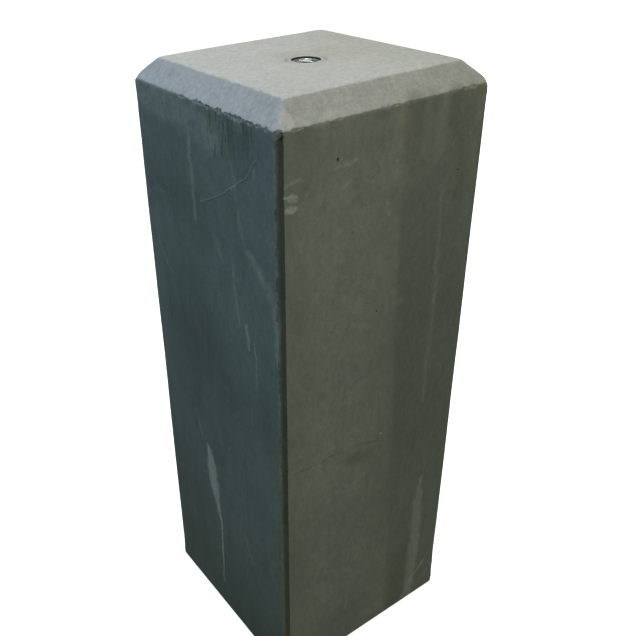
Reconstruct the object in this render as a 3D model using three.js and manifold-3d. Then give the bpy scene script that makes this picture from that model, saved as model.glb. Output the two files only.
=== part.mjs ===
// Precast concrete base block for a post, in millimetres, with +Z up.
// The origin is the middle of the underside. Two pieces: the cast block, and
// the threaded steel socket that is cast into its top.

import * as THREE from 'three';
import { mergeVertices } from 'three/addons/utils/BufferGeometryUtils.js';
import Module from 'manifold-3d';

const wasm = await Module();
wasm.setup();

// Block
const blockWidthX = 180;
const blockWidthY = 180;
const blockHeight = 500;
const bevelRun = 15;
const bevelDrop = 15;
const arrisWidth = 4;
const footChamfer = 2.5;

// Socket
const socketX = -4;
const socketY = -6;
const sleeveDiameter = 20;
const sleeveLength = 70;
const threadDiameter = 16;
const threadPitch = 2;
const boreDepth = 60;
const rimRecess = 1.3;
const castGap = 0.3;
const mouthEase = 0.8;

// How far a cutting shape runs past the face that it cuts
const pastFace = 10;
const roundSides = 48;
const mergeDistance = 1e-4;

// A thread's crests stand this share of the pitch inside its nominal radius.
const crestShare = 0.541;
const boreDiameter = threadDiameter - 2 * crestShare * threadPitch;
const rimHeight = blockHeight - rimRecess;
const shoulderHeight = blockHeight - bevelDrop;

// Chips along the two worn shoulders, each given by where its middle lies along the
// shoulder, how long it is, how far it drops down the face and how deep it bites.
const leftShoulderChips = [
  { along: 19, length: 9, drop: 4, bite: 0.9 },
  { along: -3, length: 15, drop: 4, bite: 0.9 },
  { along: -13.5, length: 6, drop: 6, bite: 1.3 },
  { along: -26, length: 9, drop: 5, bite: 1.3 },
  { along: -40, length: 14, drop: 5, bite: 1.2 },
  { along: -50, length: 6, drop: 7, bite: 1.4 },
  { along: -61, length: 8, drop: 6, bite: 1.3 },
  { along: -70, length: 6, drop: 4, bite: 1 },
];
const rightShoulderChips = [
  { along: -76, length: 12, drop: 3.5, bite: 0.8 },
  { along: -44, length: 7, drop: 3, bite: 0.7 },
  { along: 4, length: 6, drop: 3, bite: 0.6 },
  { along: 69, length: 13, drop: 5, bite: 1.2 },
];
const nearCornerChip = { length: 8, drop: 8, bite: 2.2 };

// Turns a closed three.js geometry into a solid that can be joined and cut.
function toSolid(geometry) {
  const bare = geometry.clone();
  bare.deleteAttribute('normal');
  bare.deleteAttribute('uv');
  const merged = mergeVertices(bare, mergeDistance);
  return new wasm.Manifold(new wasm.Mesh({
    numProp: 3,
    vertProperties: merged.attributes.position.array,
    triVerts: merged.index.array,
  }));
}

// Turns a solid back into a three.js geometry.
function toGeometry(solid) {
  const mesh = solid.getMesh();
  const geometry = new THREE.BufferGeometry();
  geometry.setAttribute('position', new THREE.BufferAttribute(mesh.vertProperties, 3));
  geometry.setIndex(new THREE.BufferAttribute(mesh.triVerts, 1));
  geometry.computeVertexNormals();
  return geometry;
}

function outline(points) {
  return new THREE.Shape(points.map(([x, y]) => new THREE.Vector2(x, y)));
}

// The block seen from above: a rectangle with its four arrises cut off.
function planOutline() {
  const x = blockWidthX / 2;
  const y = blockWidthY / 2;
  return outline([
    [-x + arrisWidth, -y],
    [x - arrisWidth, -y],
    [x, -y + arrisWidth],
    [x, y - arrisWidth],
    [x - arrisWidth, y],
    [-x + arrisWidth, y],
    [-x, y - arrisWidth],
    [-x, -y + arrisWidth],
  ]);
}

// The block seen from one side. Its bevels run on past the faces, so that
// only the plan outline sets where the faces are.
function sideOutline(width) {
  const x = width / 2;
  return outline([
    [-x + footChamfer, 0],
    [x - footChamfer, 0],
    [x + footChamfer, 2 * footChamfer],
    [x + bevelRun, blockHeight - 2 * bevelDrop],
    [x - bevelRun, blockHeight],
    [-x + bevelRun, blockHeight],
    [-x - bevelRun, blockHeight - 2 * bevelDrop],
    [-x - footChamfer, 2 * footChamfer],
  ]);
}

function extruded(shape, depth) {
  return new THREE.ExtrudeGeometry(shape, { depth, bevelEnabled: false });
}

// The cast shape is where its plan and its two side views overlap.
function castBody() {
  const plan = extruded(planOutline(), blockHeight + 2 * pastFace);
  plan.translate(0, 0, -pastFace);

  const lengthY = blockWidthY + 2 * pastFace;
  const front = extruded(sideOutline(blockWidthX), lengthY);
  front.rotateX(Math.PI / 2);
  front.translate(0, lengthY / 2, 0);

  const lengthX = blockWidthX + 2 * pastFace;
  const side = extruded(sideOutline(blockWidthY), lengthX);
  side.rotateX(Math.PI / 2);
  side.rotateZ(Math.PI / 2);
  side.translate(-lengthX / 2, 0, 0);

  return toSolid(plan).intersect(toSolid(front)).intersect(toSolid(side));
}

// A solid of revolution around +Z from [radius, height] pairs that run up from
// the axis and back to it.
function turned(profile) {
  const geometry = new THREE.LatheGeometry(
    profile.map(([radius, height]) => new THREE.Vector2(radius, height)),
    roundSides,
  );
  geometry.rotateX(Math.PI / 2);
  return geometry;
}

// The space that the socket takes out of the block, with the worn lip of its mouth.
function socketSpace() {
  const radius = sleeveDiameter / 2 + castGap;
  const space = turned([
    [0, rimHeight - sleeveLength - castGap],
    [radius, rimHeight - sleeveLength - castGap],
    [radius, blockHeight - mouthEase],
    [radius + mouthEase, blockHeight],
    [radius + mouthEase, blockHeight + pastFace],
    [0, blockHeight + pastFace],
  ]);
  space.translate(socketX, socketY, 0);
  return toSolid(space);
}

// One chip: a rough lump with its middle on the edge that it bites into.
function chipLump(lengthX, lengthY, drop, x, y) {
  const lump = new THREE.IcosahedronGeometry(0.5);
  lump.scale(lengthX, lengthY, drop);
  lump.translate(x, y, shoulderHeight);
  return toSolid(lump);
}

function chipLumps() {
  const faceX = -blockWidthX / 2;
  const faceY = -blockWidthY / 2;
  const left = leftShoulderChips.map(({ along, length, drop, bite }) => (
    chipLump(2 * bite, length, drop, faceX, along)
  ));
  const right = rightShoulderChips.map(({ along, length, drop, bite }) => (
    chipLump(length, 2 * bite, drop, along, faceY)
  ));
  const { length, drop, bite } = nearCornerChip;
  const inset = (arrisWidth - bite) / 2;
  const corner = chipLump(length, length, drop, faceX + inset, faceY + inset);
  return [...left, ...right, corner];
}

function concreteBlock() {
  let block = castBody().subtract(socketSpace());
  for (const lump of chipLumps()) {
    block = block.subtract(lump);
  }
  const material = new THREE.MeshStandardMaterial({ color: 0x7b7f78, roughness: 0.9, metalness: 0 });
  const mesh = new THREE.Mesh(toGeometry(block), material);
  mesh.name = 'concrete_block';
  return mesh;
}

// The socket: a round steel sleeve, closed below, with a countersunk bore that is
// drawn at the width between the crests of its thread.
function threadedSocket() {
  const outer = sleeveDiameter / 2;
  const bore = boreDiameter / 2;
  const threadRoot = threadDiameter / 2;
  const geometry = turned([
    [0, -sleeveLength],
    [outer, -sleeveLength],
    [outer, 0],
    [threadRoot, 0],
    [bore, bore - threadRoot],
    [bore, -boreDepth],
    [0, -boreDepth],
  ]);
  const material = new THREE.MeshStandardMaterial({ color: 0xb9bdbc, roughness: 0.35, metalness: 1 });
  const mesh = new THREE.Mesh(geometry, material);
  mesh.position.set(socketX, socketY, rimHeight);
  mesh.name = 'threaded_socket';
  return mesh;
}

const postBaseBlock = new THREE.Group();
postBaseBlock.add(concreteBlock(), threadedSocket());

export default postBaseBlock;
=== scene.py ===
# %% [markdown]
# # A precast concrete base block for a post
#
# The real object is a square block of dense grey concrete, 500 mm tall, that stands in the
# ground or on it and carries the foot of a post. Such blocks are cast in steel moulds, so
# the four sides are smooth, the top edges are bevelled, and a zinc-plated sleeve with an
# inside thread is set into the top.
#
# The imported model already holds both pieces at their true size. This script loads it as a
# fixed frame and dresses it: a worn concrete skin with real chips and scratches, and a
# socket with a real thread.

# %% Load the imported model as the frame
import math

import bpy
import numpy as np
from mathutils import Matrix, Vector


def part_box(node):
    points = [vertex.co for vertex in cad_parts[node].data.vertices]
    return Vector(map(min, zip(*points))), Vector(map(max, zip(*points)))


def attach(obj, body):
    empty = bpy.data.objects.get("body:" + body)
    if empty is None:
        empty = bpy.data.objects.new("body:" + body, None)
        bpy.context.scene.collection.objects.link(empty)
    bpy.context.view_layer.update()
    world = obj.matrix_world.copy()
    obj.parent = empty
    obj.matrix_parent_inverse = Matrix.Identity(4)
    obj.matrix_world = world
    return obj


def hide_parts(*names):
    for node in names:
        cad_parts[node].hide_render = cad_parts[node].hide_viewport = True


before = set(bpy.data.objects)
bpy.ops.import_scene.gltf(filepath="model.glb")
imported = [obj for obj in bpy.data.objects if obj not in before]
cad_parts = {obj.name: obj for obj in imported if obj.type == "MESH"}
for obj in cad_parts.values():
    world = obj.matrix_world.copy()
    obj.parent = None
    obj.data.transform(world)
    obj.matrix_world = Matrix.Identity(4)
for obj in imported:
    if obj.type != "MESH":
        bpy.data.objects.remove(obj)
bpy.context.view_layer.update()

MM = 0.001
BODY = "root"

# %% [markdown]
# ## Sizes taken from the frame
#
# The width, the height and the socket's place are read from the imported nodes, so that the
# dressed pieces can't drift away from them. Only the sizes that a box can't tell, such as
# the bevel's, are named here again.

# %% Sizes of the block and the socket
block_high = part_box("concrete_block")[1]
socket_low, socket_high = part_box("threaded_socket")

half = block_high.x
height = block_high.z
bevel = 15 * MM
shoulder = height - bevel
arris = 4 * MM
foot = 2.5 * MM

sleeve_radius = (socket_high.x - socket_low.x) / 2
socket_x = (socket_high.x + socket_low.x) / 2
socket_y = (socket_high.y + socket_low.y) / 2
rim = socket_high.z
sleeve_length = rim - socket_low.z
cast_gap = 0.3 * MM

print(f"block {2000 * half:.0f} mm wide and {1000 * height:.0f} mm tall")
print(f"socket {2000 * sleeve_radius:.0f} mm wide, {1000 * (height - rim):.1f} mm below the top")

# %% [markdown]
# ## The block's form
#
# A cast block like this one is a plain square prism with flat cuts: four bevels round the
# top, four narrow arrises up the corners and a small chamfer round the foot. The bevel
# operator could round a cube, but where a wide bevel meets a narrow one it has to guess.
# Cutting with planes gives the exact mitres of the mould, so the cube is bisected once
# for each flat.

# %% Helpers for working in edit mode
def deselect_all():
    bpy.ops.object.select_all(action="DESELECT")


def pick(piece):
    deselect_all()
    piece.select_set(True)
    bpy.context.view_layer.objects.active = piece


def edit(piece):
    pick(piece)
    bpy.ops.object.mode_set(mode="EDIT")
    bpy.ops.mesh.select_mode(type="FACE")


def stop_editing():
    bpy.ops.object.mode_set(mode="OBJECT")


def apply_place(piece):
    pick(piece)
    bpy.ops.object.transform_apply(location=True, rotation=True, scale=True)


def settle(piece, modifier):
    """Make one modifier's work part of the mesh."""
    pick(piece)
    bpy.ops.object.modifier_apply(modifier=modifier.name)


# %% A cube at the block's size, cut by the planes of the mould
def cut_away(point, outward):
    bpy.ops.mesh.select_all(action="SELECT")
    bpy.ops.mesh.bisect(plane_co=point, plane_no=outward, use_fill=True, clear_outer=True)


def make_block():
    deselect_all()
    bpy.ops.mesh.primitive_cube_add(size=1, location=(0, 0, height / 2))
    block = bpy.context.object
    block.name = "worn_concrete_block"
    block.scale = (2 * half, 2 * half, height)
    apply_place(block)
    edit(block)
    for side in (Vector((1, 0, 0)), Vector((-1, 0, 0)), Vector((0, 1, 0)), Vector((0, -1, 0))):
        up = Vector((0, 0, 1))
        cut_away(side * (half - bevel) + up * height, side + up)
        cut_away(side * (half - foot), side - up)
    for corner in (Vector((1, 1, 0)), Vector((1, -1, 0)), Vector((-1, 1, 0)), Vector((-1, -1, 0))):
        cut_away(corner * (half - arris / 2), corner)
    stop_editing()
    return block


block = make_block()
print(f"the block's form has {len(block.data.polygons)} faces")

# %% [markdown]
# ## A grid that is fine where the wear is
#
# Chips and scratches are only a millimetre or two across, and a mesh that fine all over
# would be millions of faces. So the form is first cut into cells of about five
# millimetres by parallel planes, and then only the faces near a worn edge or a mark are
# subdivided, again and again, until they are fine enough to carry it.

# %% Cut the form into cells
cell = 5 * MM
insets = (arris, (arris + bevel) / 2, bevel)


def slice_at(point, direction):
    bpy.ops.mesh.select_all(action="SELECT")
    bpy.ops.mesh.bisect(plane_co=point, plane_no=direction, threshold=1e-7)


def even_steps(start, end):
    count = round((end - start) / cell)
    return [start + (end - start) * step / count for step in range(1, count)]


def make_cells(piece):
    edit(piece)
    plateau = half - bevel
    across = even_steps(-plateau, plateau)
    for inset in insets:
        across += [half - inset, inset - half]
    for place in across:
        slice_at((place, 0, 0), (1, 0, 0))
        slice_at((0, place, 0), (0, 1, 0))
    up = even_steps(foot, shoulder) + [shoulder + inset for inset in insets[:2]]
    for place in up:
        slice_at((0, 0, place), (0, 0, 1))
    stop_editing()


make_cells(block)
print(f"the coarse grid has {len(block.data.polygons)} faces")

# %% [markdown]
# ## The wear on the real block, written down once
#
# Each mark is a path on one face and half its width, both in millimetres: y and z on the
# left face, x and z on the right face. The same lists say where the grid gets finer, where
# the surface is pushed in or out, and where the concrete is paler or darker, so the shape
# and the colour of a mark always agree.

# %% Paths on the faces
def on_left(*path):
    return [(-half, y * MM, z * MM) for y, z in path]


def on_right(*path):
    return [(x * MM, -half, z * MM) for x, z in path]


# %% Chips along the two worn shoulders
# Each is where its middle lies, how long it is, how far it drops down the face and how
# deep it bites. The bite over the drop gives the facet's slant. The edge lost only a share
# of each bite, about as much as in the solid.
left_chips = [
    (19, 9, 4.5, 1.6),
    (-3, 15, 4, 1.5),
    (-13.5, 6, 7, 2.2),
    (-26, 9, 6, 2.2),
    (-40, 14, 6, 2),
    (-50, 6, 9, 2.4),
    (-61, 8, 7, 2.2),
    (-70, 6, 4, 1.6),
]
right_chips = [
    (-76, 12, 4, 1.6),
    (-44, 6, 4, 1.3),
    (4, 5, 3.5, 0.9),
    (64, 5, 4, 1.6),
    (71, 10, 6, 2.2),
]
left_share, right_share = 0.45, 0.35

# %% Scrapes, air holes and the raised hairline
scrapes = [
    (on_left((-16.3, 480), (-15.9, 477), (-15.7, 472)), (0.3, 0.7, 0.3)),
    (on_left((-24.3, 483), (-23.9, 480), (-23.6, 476)), (0.5, 0.6, 0.3)),
    (on_left((-32.8, 483), (-32.5, 479), (-31.8, 473)), (0.4, 0.8, 0.3)),
    (on_left((-30.1, 467), (-29.7, 461), (-29.0, 454)), (0.3, 0.6, 0.4)),
    (on_left((-55.2, 482), (-54.9, 478), (-54.5, 472)), (0.4, 0.7, 0.3)),
    (on_left((-18.3, 473), (-17.9, 468)), (0.5, 0.3)),
    (on_left((-20.7, 461), (-20.2, 456), (-19.8, 452)), (0.3, 0.5, 0.3)),
    (on_left((-34.7, 471), (-34.2, 466)), (0.5, 0.3)),
    (on_left((-67.8, 468), (-67.5, 464), (-67.2, 460)), (0.3, 0.5, 0.3)),
]
air_holes = [
    (on_right((-86.3, 482.2)), 1.1),
    (on_right((-44.7, 460.2)), 0.7),
    (on_right((65.0, 428.5)), 0.55),
    (on_right((70.6, 367.1)), 0.45),
    (on_right((-5.5, 340.4)), 0.6),
    (on_left((-17.1, 204.1)), 0.45),
]
hairline = (
    on_left((1.9, 415.5), (-18, 425), (-27, 430), (-38.5, 437.5), (-55.4, 448.8), (-61.5, 457), (-67, 463)),
    0.4,
)

# %% Pale marks: rubs, runs of lime, scratches and a painted sheen
# Each is a path, its half width in millimetres, and how strong it is. A tapering mark has
# a half width for each point of its path.
pale_marks = [
    (on_left((35, 218), (31, 206), (28.5, 194)), 1.5, 0.22),
    (on_left((-33.7, 121.5), (-38, 109), (-43.1, 98.3)), (1.0, 1.4, 0.8), 0.22),
    (on_left((11.5, 476), (13.2, 449.5), (12, 435), (11.3, 400)), (1.5, 2.2, 2.4, 1.5), 0.3),
    (on_left((4.5, 484), (5.1, 477)), 1.2, 0.2),
    (on_left((-38.9, 437.6)), 1.0, 0.9),
    (on_left((-37.8, 454), (-43.7, 437), (-45.8, 417), (-49.5, 403)), 2.2, 0.16),
    (on_left((-14.3, 393), (-17.9, 388), (-23.4, 382)), 3.0, 0.14),
    (on_left((-55, 398), (-69.5, 386), (-79.6, 374), (-85, 355)), (2.5, 5, 5, 3), 0.17),
    (on_left((-59, 397), (-66, 389), (-73, 380)), (1.2, 2.2, 1.6), 0.26),
    (on_left((-77, 376), (-82.5, 366), (-84.5, 345), (-85, 325)), (1.4, 2, 1.8, 1.2), 0.3),
    (on_left((-35, 378), (-37.3, 357.7), (-39.6, 335)), 1.4, 0.24),
    (on_left((-48.2, 340), (-50, 332), (-51.8, 321)), (1.5, 1.8, 1.1), 0.55),
    (on_left((-58, 331), (-59.5, 319), (-60.6, 304), (-60.2, 284)), (0.9, 0.9, 0.7, 0.6), 0.42),
    (on_left((72.3, 362), (68.3, 354), (54.4, 340)), (2.5, 2.5, 2.0), 0.12),
    (on_left((73.8, 404.5), (55.8, 406.7)), 1.0, 0.16),
    (on_left((-63.4, 456), (-64.1, 449)), 1.2, 0.2),
    (on_left((-31.9, 245)), 0.9, 0.4),
    (on_left((-17, 207)), 1.0, 0.35),
    (on_left((68.9, 132)), 1.2, 0.35),
    (on_left((-72, 115), (-82, 100)), 5.0, 0.12),
    (on_left((-26.3, 479.5), (-25.8, 474)), 0.7, 0.4),
    (on_left((-30.1, 477), (-29.2, 467.5)), 0.7, 0.4),
    (on_left((-53, 481), (-52.7, 476.5)), 0.7, 0.45),
    (on_left((-45.8, 484.5), (-45.5, 481)), 0.7, 0.4),
    (on_right((-46.6, 454.2), (-42.5, 456.2)), 1.1, 0.3),
    (on_right((-40.3, 454.8), (-35.3, 456.2)), 1.3, 0.28),
    (on_right((-35.2, 454), (-29.8, 456.6)), 1.5, 0.26),
    (on_right((-84, 452.6), (-78, 453.6), (-72.2, 454.6)), (1.0, 1.3, 0.8), 0.26),
    (on_right((-40.6, 441.2), (-34.2, 443)), 1.0, 0.26),
    (on_right((-85.4, 445.2), (-80, 444.6), (-77, 444)), (0.9, 1.5, 1.2), 0.5),
    (on_right((-82.2, 442.4), (-77.4, 442.2)), 1.2, 0.3),
    (on_right((-84.0, 436.2), (-80, 436.8), (-77.8, 437.2)), (1.5, 2.3, 1.5), 0.75),
    (on_right((5.3, 448.4)), 1.0, 0.55),
    (on_right((-4.1, 424.6), (-0.7, 420)), 1.3, 0.2),
    (on_right((0.5, 414.7), (2.3, 410.5)), 1.0, 0.25),
    (on_right((73.1, 452.7)), 1.3, 0.3),
    (on_right((61.3, 460), (61.8, 453.4), (57.1, 449.5)), 1.4, 0.22),
    (on_right((17.1, 340.3)), 3.0, 0.12),
    # A painted sheen: a faint pale band of light up the right face.
    (
        on_right((50, 420), (52.4, 344), (53.3, 331), (51.8, 301), (50.5, 235)),
        (1.5, 2.4, 2.8, 2.4, 1.5),
        0.09,
    ),
    (on_right((53.4, 334), (53.1, 327)), 1.0, 0.22),
    (on_right((73.7, 40), (65.4, 32), (58, 24), (51.2, 12.5), (42.7, 4.3)), 0.5, 0.8),
    (on_right((84.0, 27.5), (79.5, 22.5)), 0.6, 0.95),
    (on_right((38.3, 134), (26.1, 129)), 0.5, 0.2),
    (on_right((-24.4, 58), (-23.8, 41)), 1.3, 0.14),
    (on_right((-62, 224.6)), 0.7, 0.9),
    (on_right((5.5, 225.2)), 0.9, 0.8),
]
crisp_marks = [
    (
        on_left(
            (21.7, 190), (17.4, 184), (15.3, 165), (13.5, 146),
            (10.2, 133), (6.7, 113), (5.7, 93), (8.1, 31),
        ),
        (0.3, 3.2, 7.0, 6.6, 4.0, 1.8, 1.2, 0.7),
        0.66,
    ),
    (on_right((57, 150), (56.5, 113), (56.6, 66), (55, 30), (54, 0)), (1.5, 5.5, 6.5, 6, 5), 0.18),
]

# %% Dark marks: damp, stains, the line where one pour met the next, and a painted shadow under the hairline
dark_marks = [
    (on_right((-26, 213), (-17, 211), (-8, 208)), (4.5, 8, 5.5), 0.38),
    (on_right((-80, 228), (-67, 227), (-53.6, 226), (-44.7, 227.3), (-32.6, 225.5)), 0.8, 0.6),
    (on_right((-32.6, 225.5), (-20.3, 225.4), (2.5, 218.7)), 0.9, 0.5),
    # Painted shadow: a thin dark line just under the raised hairline, in two stretches.
    (on_left((1.5, 414.3), (-18, 424), (-27, 429), (-38.5, 436.5), (-55, 447.5)), 0.35, 0.4),
    (on_left((-56, 448.5), (-60.5, 455), (-66, 464)), 0.35, 0.3),
    (on_left((-22, 474), (-36, 470), (-52, 474)), 6.0, 0.15),
]
broad_pale_marks = [
    (on_right((-4, 484), (-5, 474), (-3, 450)), 3.0, 0.1),
    (on_right((46, 484), (44, 473), (45, 440)), 4.0, 0.07),
    (on_right((-50, 478), (-10, 470), (8, 474)), 12.0, 0.1),
    (on_right((-32, 446), (14, 448)), 16.0, 0.13),
    (on_right((-38, 440), (-36, 260), (-34, 80)), 30.0, 0.1),
    (on_left((-60, 240), (-75, 220), (-78, 60)), 9.0, 0.05),
    (on_left((60, 440), (10, 440), (-50, 430)), 20.0, 0.06),
    (on_left((88, 480), (60, 477), (24, 473)), 12.0, 0.28),
    (on_left((24, 473), (-16, 466)), 12.0, 0.24),
]
broad_dark_marks = [
    (on_right((40, 66), (38, 30), (34, 4)), 12.0, 0.45),
    (on_right((0, 6), (40, 4)), 6.0, 0.2),
    (on_right((20, 484), (18, 470), (22, 440)), 8.0, 0.36),
    (on_right((58, 484), (57, 471), (62, 452)), 6.0, 0.4),
    (on_right((70, 470), (67, 446), (70, 410)), 6.0, 0.26),
    (on_right((36, 486), (38, 478)), 5.0, 0.2),
    (on_left((60, 60), (20, 12), (-30, 2), (-84, 6)), 18.0, 0.3),
    (on_left((-78, 110), (-82, 0)), 9.0, 0.2),
    (on_left((40, 330), (10, 280), (0, 220)), 40.0, 0.16),
    (on_left((-60, 330), (-66, 250)), 18.0, 0.1),
]

# %% Ochre stains left by the mould oil
ochre_marks = [
    (on_right((2, 486), (7, 477), (13, 467)), 5.0, 0.35),
    (on_right((72, 486), (80, 482), (86, 478)), 5.0, 0.5),
    (on_right((30, 484), (60, 484)), 2.0, 0.35),
    (on_left((-14, 477), (-24, 473), (-36, 462)), 6.0, 0.3),
    (on_left((-38, 482), (-52, 478)), 3.0, 0.35),
]

# %% [markdown]
# ## Refining the grid where it is needed
#
# A face has to be smaller than the mark that crosses it. The size that a face may have
# grows with its distance from the nearest mark, so fine and coarse parts of the grid run
# into each other without a jump.

# %% Distance from marks
def widths_of(path, half_width):
    if isinstance(half_width, tuple):
        return [width * MM for width in half_width]
    return [half_width * MM] * len(path)


def reach_to_run(points, start, end, start_width, end_width):
    """How far each point is from a straight run, and the run's half width there."""
    start, end = np.array(start), np.array(end)
    run = end - start
    length = run @ run
    share = np.zeros(len(points))
    if length > 0:
        share = np.clip((points - start) @ run / length, 0, 1)
    away = np.linalg.norm(points - (start + share[:, None] * run), axis=1)
    return away, start_width + share * (end_width - start_width)


def curved(values):
    """Three more points between each two, on a smooth curve through them all."""
    points = [np.array(value, float) for value in values]
    ends = [points[0], *points, points[-1]]
    smooth = []
    for before, start, end, after in zip(ends, ends[1:], ends[2:], ends[3:]):
        for share in (0, 0.25, 0.5, 0.75):
            pull = (end - before) * share + (2 * before - 5 * start + 4 * end - after) * share ** 2
            smooth.append(start + (pull + (3 * start - before - 3 * end + after) * share ** 3) / 2)
    return smooth + [points[-1]]


def runs_of(path, half_width):
    widths = widths_of(path, half_width)
    if len(path) == 1:
        return [(path[0], path[0], widths[0], widths[0])]
    if len(path) > 2:
        path, widths = curved(path), curved(widths)
    return list(zip(path, path[1:], widths, widths[1:]))


def soft_mask(points, path, half_width):
    """1 along the middle of a mark, a half at its half width, and 0 a little beyond."""
    mask = np.zeros(len(points))
    for run in runs_of(path, half_width):
        away, width = reach_to_run(points, *run)
        inside = np.clip(1.5 - away / width, 0, 1)
        mask = np.maximum(mask, inside * inside * (3 - 2 * inside))
    return mask


# %% How small a face has to be
# The smallest face, how fast the size may grow with distance, and a distance that stands
# for nowhere near.
finest = 0.4 * MM
growth = 0.45
far_off = 1.0


def worn_edges():
    """The block's edges as paths, each with the size of face that its wear asks for."""
    x, z = half, shoulder
    inner, top = half - bevel, height
    near = half - arris
    edges = []
    for side in (-1, 1):
        fine = 1.0 if side < 0 else 1.7
        edges.append(([(side * x, -near, z), (side * x, near, z)], fine))
        edges.append(([(-near, side * x, z), (near, side * x, z)], fine))
        edges.append(([(side * inner, -inner, top), (side * inner, inner, top)], 1.7))
        edges.append(([(-inner, side * inner, top), (inner, side * inner, top)], 1.7))
        for other in (-1, 1):
            fine = 1.0 if side < 0 and other < 0 else 2.0
            corner = (side * (half - arris / 2), other * (half - arris / 2))
            edges.append(([(*corner, 0), (*corner, z)], fine))
            edges.append(([(*corner, z), (side * inner, other * inner, top)], 1.7))
    return edges


def chip_paths():
    level = shoulder / MM
    paths = []
    for place, chips in ((on_left, left_chips), (on_right, right_chips)):
        for along, length, *_ in chips:
            paths.append(place((along - length / 2, level), (along + length / 2, level)))
    return paths


# A faint ring lies on the top, round the socket.
mark_ring = 13.6 * MM


def wanted_size(points):
    wanted = np.full(len(points), cell)

    def ask(away, size):
        np.minimum(wanted, size + growth * np.maximum(away, 0), out=wanted)

    def ask_along(path, half_width, reach, smallest, share=0.0, largest=cell):
        """Ask for a share of the mark's width, from so many half widths inwards."""
        for run in runs_of(path, half_width):
            away, width = reach_to_run(points, *run)
            ask(away - reach * width, np.clip(share * width, smallest, largest))

    for path, half_width in scrapes + air_holes + [hairline]:
        ask_along(path, half_width, 1, finest, 0.6)
    for path, half_width, strength in pale_marks + crisp_marks + dark_marks:
        ask_along(path, half_width, 1.3, 1.2 * finest, 0.7, 2.5 * MM)
    for path in chip_paths():
        ask_along(path, 3, 1, 0.6 * MM)
    for path, fine in worn_edges():
        ask_along(path, 3, 1, fine * MM)
    from_socket = np.hypot(points[:, 0] - socket_x, points[:, 1] - socket_y)
    on_top = points[:, 2] > height - MM
    ring = np.where(on_top, np.abs(from_socket - mark_ring), far_off)
    mouth = np.where(on_top, np.abs(from_socket - sleeve_radius), far_off)
    ask(ring - MM, 0.7 * MM)
    ask(mouth - 2 * MM, 0.8 * MM)
    return wanted


def refine(piece, rounds):
    for _ in range(rounds):
        mesh = piece.data
        count = len(mesh.polygons)
        centres = np.empty(3 * count)
        areas = np.empty(count)
        mesh.polygons.foreach_get("center", centres)
        mesh.polygons.foreach_get("area", areas)
        coarse = np.sqrt(areas) > 1.4 * wanted_size(centres.reshape(-1, 3))
        if not coarse.any():
            break
        mesh.vertices.foreach_set("select", np.zeros(len(mesh.vertices), bool))
        mesh.edges.foreach_set("select", np.zeros(len(mesh.edges), bool))
        mesh.polygons.foreach_set("select", coarse)
        edit(piece)
        bpy.ops.mesh.subdivide(number_cuts=1, ngon=False, quadcorner="INNERVERT")
        stop_editing()
        print(f"refined {coarse.sum()} faces, now {len(piece.data.polygons)}")


refine(block, rounds=5)

# %% [markdown]
# ## Masks: where each kind of wear lies
#
# A vertex group says how much each vertex takes part in a modifier, and a float attribute
# carries the same numbers on to the material. Both are worked out here, while the faces
# are still flat and the distances are simple.

# %% Reading vertices, and noise to break up straight edges
from mathutils import noise


def vertex_places(piece):
    places = np.empty(3 * len(piece.data.vertices))
    piece.data.vertices.foreach_get("co", places)
    return places.reshape(-1, 3)


def ripple(points, size, seed):
    """Smooth noise from about -1 to 1, with bumps of the given size."""
    shift = Vector((17.3, 5.1, 9.7)) * seed
    return np.array([noise.noise(Vector(point) / size + shift) for point in points])


def smooth_step(value):
    value = np.clip(value, 0, 1)
    return value * value * (3 - 2 * value)


def masked_ripple(points, nearby, size, seed):
    """The noise at the points that need it, and 0 at the rest."""
    values = np.zeros(len(points))
    values[nearby] = ripple(points[nearby], size, seed)
    return values


grid = vertex_places(block)
x_at, y_at, z_at = grid.T

# %% Broken concrete along the shoulders
# Concrete breaks off an edge as a flake, so what is left is a slanted facet. The loss is
# how deep that facet lies under the sharp edge: it swells and dies away along the edge.
drop = shoulder - z_at
near_shoulder = np.abs(drop) < 14 * MM
on_left_shoulder = (x_at < -half + 8 * MM) & near_shoulder
on_right_shoulder = (y_at < -half + 8 * MM) & near_shoulder


def along_noise(along_edge, here, size, seed):
    """Noise that changes only along an edge."""
    places = np.zeros((len(grid), 3))
    places[:, 0] = along_edge
    return masked_ripple(places, here, size, seed)


edge_noise = masked_ripple(grid, near_shoulder, 2.4 * MM, 1)


def facet(along_edge, inset, here, loss, lean):
    """How far each point stands outside a facet at this depth, with this upward lean."""
    outside = -math.sqrt(1 - lean ** 2) * inset - lean * drop + loss
    return here * np.clip(outside, 0, None)


def chip_loss(along_edge, inset, here, chips, share, seed):
    worst = np.zeros(len(grid))
    jag = 1 + 0.5 * along_noise(along_edge, here, 2.5 * MM, seed) + 0.25 * edge_noise
    for along, length, fall, bite in chips:
        beside = (along_edge - along * MM) / (length / 2 * MM)
        loss = share * bite * MM * np.sqrt(np.clip(1 - beside ** 2, 0, 1)) * jag
        worst = np.maximum(worst, facet(along_edge, inset, here, loss, min(0.6, bite / fall)))
    return worst


def ragged_loss(along_edge, inset, here, start, end, depth, seed):
    """A crumbled line along an edge, between two places."""
    inside = smooth_step((along_edge - start) / (6 * MM)) * smooth_step((end - along_edge) / (6 * MM))
    slow = along_noise(along_edge, here, 8 * MM, seed)
    quick = along_noise(along_edge, here, 2.2 * MM, seed + 1)
    loss = depth * inside * np.clip(0.35 + 0.9 * slow + 0.8 * quick + 0.4 * edge_noise, 0, 2)
    return facet(along_edge, inset, here, loss, 0.38)


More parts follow.
